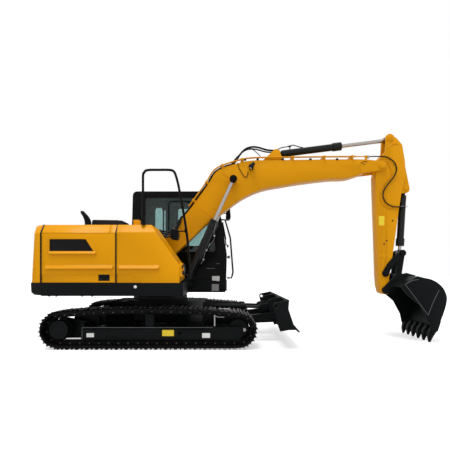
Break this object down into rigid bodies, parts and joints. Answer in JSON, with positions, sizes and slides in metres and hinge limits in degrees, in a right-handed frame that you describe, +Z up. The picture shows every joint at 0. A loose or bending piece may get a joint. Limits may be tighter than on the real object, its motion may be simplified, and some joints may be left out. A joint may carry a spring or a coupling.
{
  "type": "crawler excavator",
  "caption": "Crawler excavator with box-section boom and arm, toothed bucket, front dozer blade, glazed cab and steel tracks.",
  "frame": {"origin": "centre of the whole machine's plan box, on the ground under the tracks; the slewing axis is 1.566 m behind it", "axes": "+X forward along the tracks and boom, +Y to the machine's left (cab side), +Z up"},
  "size_m": [7.828, 2.49, 4.086],
  "materials": {
    "machine_orange": "semi-gloss yellow-orange enamel",
    "cab_black": "satin black enamel",
    "dark_grey": "satin charcoal enamel",
    "track_steel": "dark rolled steel shoes",
    "bright_chrome": "polished hard chrome",
    "tinted_glass": "lightly tinted safety glass",
    "seat_fabric": "woven dark grey cloth",
    "bare_iron": "dark cast iron and steel"
  },
  "bodies": {
    "undercarriage": {"car_body": "dark_grey", "slew_ring": "bare_iron", "track_right": "track_steel", "track_left": "track_steel", "track_frame_right": "dark_grey", "track_frame_left": "dark_grey", "sprocket_right": "bare_iron", "sprocket_left": "bare_iron", "idler_right": "bare_iron", "idler_left": "bare_iron"},
    "blade_body": {"blade": "dark_grey"},
    "blade_tubes": {"blade_cylinder_right_tube": "dark_grey", "blade_cylinder_left_tube": "dark_grey"},
    "blade_rods": {"blade_cylinder_right_rod": "bright_chrome", "blade_cylinder_left_rod": "bright_chrome"},
    "upper": {"main_deck": "dark_grey", "counterweight": "machine_orange", "counterweight_foot": "dark_grey", "hood_frame": "machine_orange", "glass_quarter": "tinted_glass", "tank_cover": "machine_orange", "bulkhead": "dark_grey", "engine_block": "bare_iron", "cab_shell": "cab_black", "glass_right": "tinted_glass", "glass_front": "tinted_glass", "glass_rear": "tinted_glass", "operator_seat": "seat_fabric", "control_console": "cab_black", "handrail_right": "cab_black", "handrail_cab": "cab_black", "mirror_right": "cab_black", "mirror_left": "cab_black"},
    "hood_body": {"engine_hood": "machine_orange", "exhaust_stack": "cab_black"},
    "right_door_body": {"door_right": "machine_orange"},
    "left_door_body": {"door_left": "machine_orange"},
    "cab_door_body": {"cab_door": "cab_black", "glass_door": "tinted_glass"},
    "boom_body": {"boom": "machine_orange", "boom_pipes": "machine_orange", "boom_lamp": "cab_black"},
    "boom_tubes": {"boom_cylinder_right_tube": "cab_black", "boom_cylinder_left_tube": "cab_black"},
    "boom_rods": {"boom_cylinder_right_rod": "bright_chrome", "boom_cylinder_left_rod": "bright_chrome"},
    "arm_body": {"arm": "machine_orange"},
    "arm_tube": {"arm_cylinder_tube": "cab_black"},
    "arm_rod": {"arm_cylinder_rod": "bright_chrome"},
    "bucket_tube": {"bucket_cylinder_tube": "cab_black"},
    "bucket_rod": {"bucket_cylinder_rod": "bright_chrome"},
    "rocker_body": {"bucket_rocker": "dark_grey"},
    "link_body": {"bucket_link": "dark_grey"},
    "bucket_body": {"bucket": "cab_black"}
  },
  "joints": [
    {"name": "swing", "type": "hinge", "parent": "undercarriage", "child": "upper", "pos_m": [-1.5661, 0, 0.92], "axis": [0, 0, 1], "continuous": true},
    {"name": "boom_lift", "type": "hinge", "parent": "upper", "child": "boom_body", "pos_m": [-1.4861, -0.1, 1.73], "axis": [0, -1, 0], "range_deg": [-47, 33]},
    {"name": "arm_swing", "type": "hinge", "parent": "boom_body", "child": "arm_body", "pos_m": [2.8639, -0.1, 3.44], "axis": [0, 1, 0], "range_deg": [-75, 35]},
    {"name": "bucket_curl", "type": "hinge", "parent": "arm_body", "child": "bucket_body", "pos_m": [2.9519, -0.1, 0.968], "axis": [0, 1, 0], "range_deg": [-12, 145]},
    {"name": "blade_lift", "type": "hinge", "parent": "undercarriage", "child": "blade_body", "pos_m": [-0.5661, 0, 0.42], "axis": [0, -1, 0], "range_deg": [-28, 3]},
    {"name": "cab_door_swing", "type": "hinge", "parent": "upper", "child": "cab_door_body", "pos_m": [-1.5661, 1.232, 2.1], "axis": [0, 0, 1], "range_deg": [0, 165]},
    {"name": "hood_lift", "type": "hinge", "parent": "upper", "child": "hood_body", "pos_m": [-2.2261, 0, 2.167], "axis": [0, 1, 0], "range_deg": [0, 60]},
    {"name": "right_door_swing", "type": "hinge", "parent": "upper", "child": "right_door_body", "pos_m": [-2.1311, -1.208, 1.6], "axis": [0, 0, 1], "range_deg": [0, 90]},
    {"name": "left_door_swing", "type": "hinge", "parent": "upper", "child": "left_door_body", "pos_m": [-3.3781, 1.208, 1.6], "axis": [0, 0, 1], "range_deg": [0, 90]},
    {"name": "boom_tubes_tilt", "type": "hinge", "parent": "upper", "child": "boom_tubes", "pos_m": [-1.0261, -0.1, 1.094], "axis": [0, -1, 0], "range_deg": [-40.62, 28.58]},
    {"name": "boom_rods_slide", "type": "slide", "parent": "boom_tubes", "child": "boom_rods", "axis": [0.4191, 0, 0.908], "range_m": [-0.5762, 0.4052]},
    {"name": "arm_tube_tilt", "type": "hinge", "parent": "boom_body", "child": "arm_tube", "pos_m": [0.7839, -0.1, 3.707], "axis": [0, 1, 0], "range_deg": [-2.45, 1.25]},
    {"name": "arm_rod_slide", "type": "slide", "parent": "arm_tube", "child": "arm_rod", "axis": [0.992, 0, 0.1266], "range_m": [-0.7089, 0.3319]},
    {"name": "bucket_tube_tilt", "type": "hinge", "parent": "arm_body", "child": "bucket_tube", "pos_m": [3.3639, -0.1, 2.984], "axis": [0, 1, 0], "range_deg": [-3.1, 0.44]},
    {"name": "bucket_rod_slide", "type": "slide", "parent": "bucket_tube", "child": "bucket_rod", "axis": [-0.0577, 0, -0.9983], "range_m": [-0.0732, 0.8624]},
    {"name": "rocker_turn", "type": "hinge", "parent": "arm_body", "child": "rocker_body", "pos_m": [2.9519, -0.1, 1.3], "axis": [0, 1, 0], "range_deg": [-9.2, 108.95]},
    {"name": "link_turn", "type": "hinge", "parent": "rocker_body", "child": "link_body", "pos_m": [3.2899, -0.1, 1.704], "axis": [0, 1, 0], "range_deg": [-72.7, 6.2]},
    {"name": "blade_tubes_tilt", "type": "hinge", "parent": "undercarriage", "child": "blade_tubes", "pos_m": [-0.5561, 0, 0.66], "axis": [0, -1, 0], "range_deg": [-27.08, 3.08]},
    {"name": "blade_rods_slide", "type": "slide", "parent": "blade_tubes", "child": "blade_rods", "axis": [0.9996, 0, -0.0286], "range_m": [-0.0146, 0.1193]}
  ],
  "couplings": [
    {"joint": "boom_tubes_tilt", "follows": "boom_lift", "ratio": 0.86},
    {"joint": "boom_rods_slide", "follows": "boom_lift", "m_per_rad": 0.7},
    {"joint": "arm_tube_tilt", "follows": "arm_swing", "ratio": 0.03},
    {"joint": "arm_rod_slide", "follows": "arm_swing", "m_per_rad": 0.54},
    {"joint": "bucket_tube_tilt", "follows": "bucket_curl", "ratio": -0.02},
    {"joint": "bucket_rod_slide", "follows": "bucket_curl", "m_per_rad": 0.34},
    {"joint": "rocker_turn", "follows": "bucket_curl", "ratio": 0.75},
    {"joint": "link_turn", "follows": "bucket_curl", "ratio": -0.5},
    {"joint": "blade_tubes_tilt", "follows": "blade_lift", "ratio": 0.96},
    {"joint": "blade_rods_slide", "follows": "blade_lift", "m_per_rad": -0.24}
  ]
}
